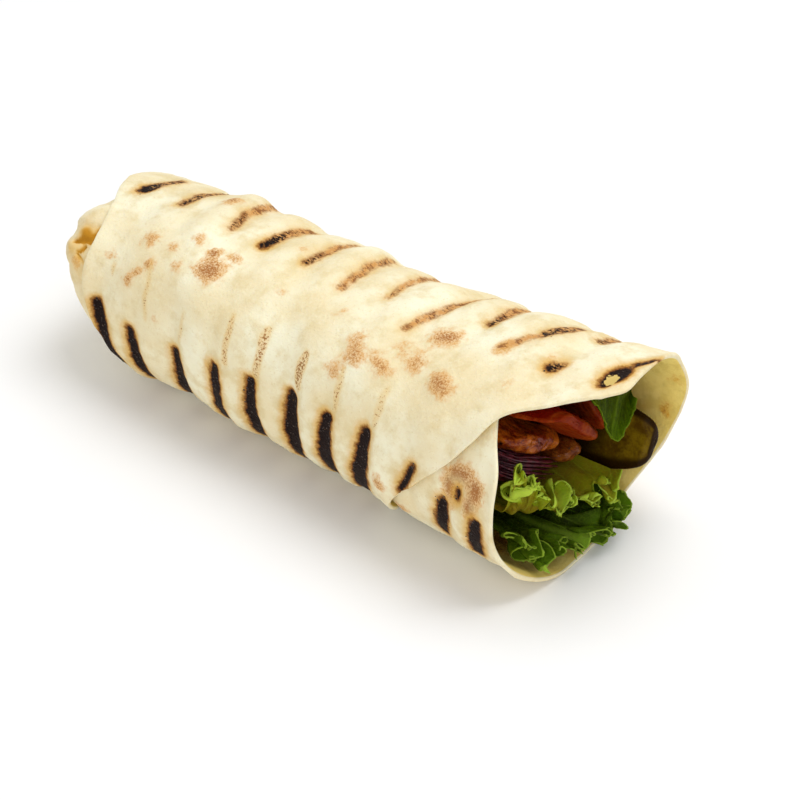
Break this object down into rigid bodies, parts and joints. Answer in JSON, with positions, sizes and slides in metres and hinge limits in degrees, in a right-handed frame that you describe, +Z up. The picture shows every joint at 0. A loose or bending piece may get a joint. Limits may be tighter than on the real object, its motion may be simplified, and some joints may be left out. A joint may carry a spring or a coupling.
{
  "type": "grilled chicken wrap",
  "caption": "Grilled flatbread rolled around glazed chicken, tomato, gherkin, red onion and frilly lettuce, tucked in at one end and open at the other.",
  "frame": {"origin": "centre of the bounding box in X and Y, on the flat strip that the roll rests on", "axes": "+X along the roll to its open mouth, -Y the side where the outer flap shows, +Z up"},
  "size_m": [0.2481, 0.092, 0.085],
  "materials": {
    "flatbread": "soft floury bread with dark grill marks",
    "chicken": "glossy brown glaze",
    "tomato": "moist red flesh with a shiny skin",
    "gherkin": "moist olive green flesh with a darker rind",
    "red_onion": "moist dark purple strips",
    "lettuce": "waxy light green leaf",
    "salad_leaf": "smooth green leaf"
  },
  "bodies": {
    "root": {"flatbread": "flatbread", "chicken_front": "chicken", "chicken_back": "chicken", "tomato_front": "tomato", "tomato_back": "tomato", "gherkin": "gherkin", "red_onion": "red_onion", "lettuce_upper": "lettuce", "lettuce_lower": "lettuce", "salad_leaf": "salad_leaf"}
  },
  "joints": []
}
